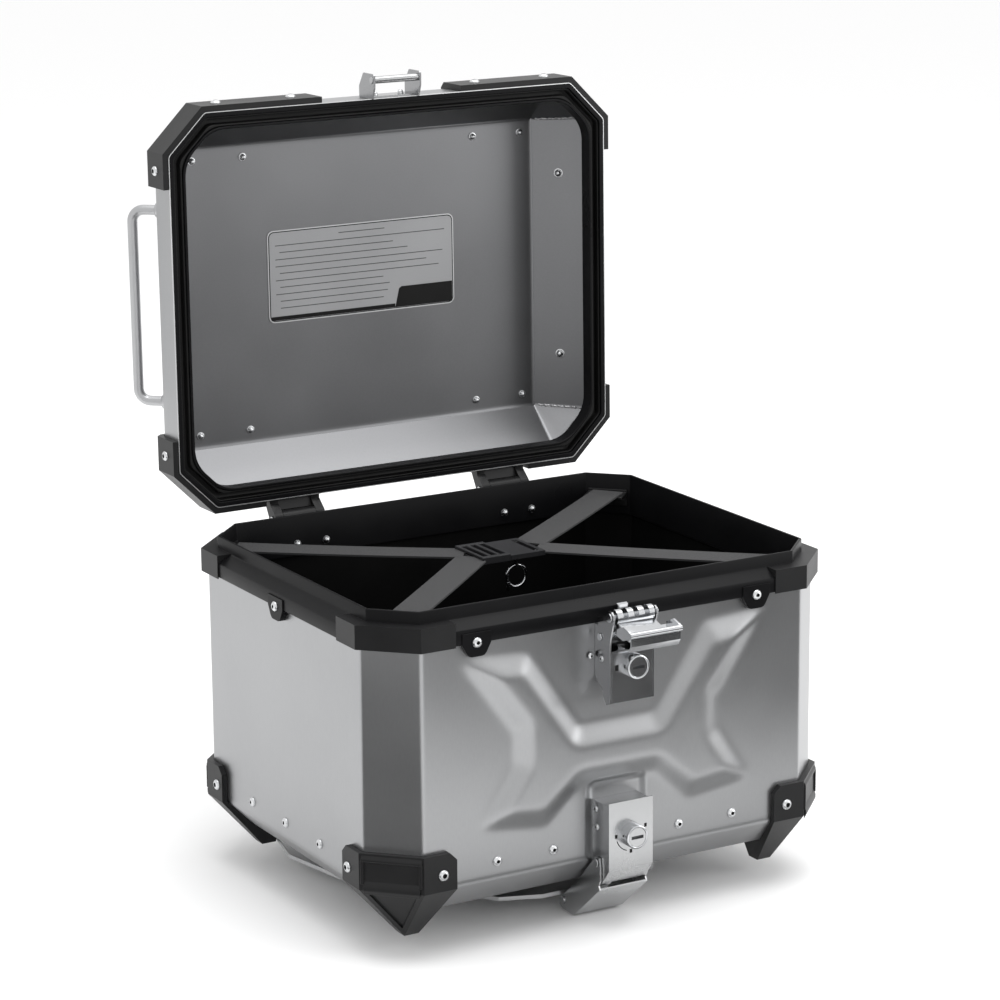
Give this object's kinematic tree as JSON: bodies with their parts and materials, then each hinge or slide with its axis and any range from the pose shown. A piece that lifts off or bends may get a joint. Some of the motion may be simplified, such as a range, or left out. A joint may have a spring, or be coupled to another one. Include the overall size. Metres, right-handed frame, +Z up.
{
  "type": "motorcycle top case",
  "caption": "Rigid aluminium luggage box with a rear-hinged lid standing open, over-centre front latch, key locks, corner guards, inner straps and a claw that locks it to a rack plate.",
  "frame": {"origin": "centre of the four rack bolts, at the underside of the spacers under the rack plate", "axes": "+X to the right of a person facing the latch, +Y to the back (hinge side), +Z up; the latch faces -Y"},
  "size_m": [0.4242, 0.4866, 0.6295],
  "materials": {
    "sheet": "satin brushed",
    "rim": "satin",
    "trim": "fine grained",
    "rubber": "matt",
    "chrome": "polished",
    "steel": "brushed",
    "fastener": "satin",
    "liner": "matt",
    "webbing": "woven",
    "buckle": "semi gloss",
    "handle": "satin",
    "plate": "satin",
    "label": "satin"
  },
  "bodies": {
    "case": {"base_latch_housing": "steel", "base_latch_pin": "steel", "base_lock_body": "chrome", "base_stiffener": "fastener", "body_shell": "sheet", "guard_back_left": "trim", "guard_back_right": "trim", "guard_front_left": "trim", "guard_front_right": "trim", "guard_screws": "fastener", "hinge_body_bolts": "fastener", "hinge_body_left": "steel", "hinge_body_right": "steel", "hinge_pins": "steel", "latch_housing": "chrome", "latch_lock_body": "chrome", "latch_pins": "chrome", "latch_rivets": "fastener", "liner": "liner", "plate_pads": "rubber", "rack_plate": "plate", "rack_spacers": "plate", "rear_catches": "steel", "rim_corner_back_left": "trim", "rim_corner_back_right": "trim", "rim_corner_front_left": "trim", "rim_corner_front_right": "trim", "rim_frame": "rim", "strap_anchors": "buckle", "strap_ladder": "buckle", "strap_left": "webbing", "strap_right": "webbing", "strap_tongue": "buckle", "wall_rivets": "fastener"},
    "lid": {"handle_collars": "handle", "handle_left": "handle", "handle_right": "handle", "hinge_lid_left": "steel", "hinge_lid_right": "steel", "label_plate": "label", "lash_eyes": "handle", "lid_bolts": "fastener", "lid_corner_back_left": "trim", "lid_corner_back_right": "trim", "lid_corner_front_left": "trim", "lid_corner_front_right": "trim", "lid_frame": "rim", "lid_screws": "fastener", "lid_seal": "rubber", "lid_shell": "sheet", "striker_bar": "chrome", "striker_bracket": "chrome"},
    "latch_lever": {"latch_lever": "chrome", "latch_claw": "chrome"},
    "rack_claw": {"base_claw": "steel", "base_claw_pin": "steel"},
    "latch_lock": {"latch_lock_plug": "chrome"},
    "rack_lock": {"base_lock_plug": "chrome"},
    "ring": {"snap_ring": "buckle"}
  },
  "joints": [
    {"name": "lid_hinge", "type": "hinge", "parent": "case", "child": "lid", "pos_m": [0, 0.1138, 0.267], "axis": [1, 0, 0], "range_deg": [0, 90.7]},
    {"name": "lever_pivot", "type": "hinge", "parent": "case", "child": "latch_lever", "pos_m": [0, -0.251, 0.2555], "axis": [1, 0, 0], "range_deg": [0, 40]},
    {"name": "claw_pivot", "type": "hinge", "parent": "case", "child": "rack_claw", "pos_m": [0, -0.2345, 0.055], "axis": [-1, 0, 0], "range_deg": [0, 40]},
    {"name": "latch_key", "type": "hinge", "parent": "case", "child": "latch_lock", "pos_m": [0, -0.2505, 0.216], "axis": [0, -1, 0], "range_deg": [0, 90]},
    {"name": "rack_key", "type": "hinge", "parent": "case", "child": "rack_lock", "pos_m": [0, -0.2495, 0.079], "axis": [0, -1, 0], "range_deg": [0, 90]},
    {"name": "ring_swing", "type": "hinge", "parent": "case", "child": "ring", "pos_m": [0.007, -0.065, 0.2508], "axis": [1, 0, 0], "range_deg": [-40, 40]}
  ]
}
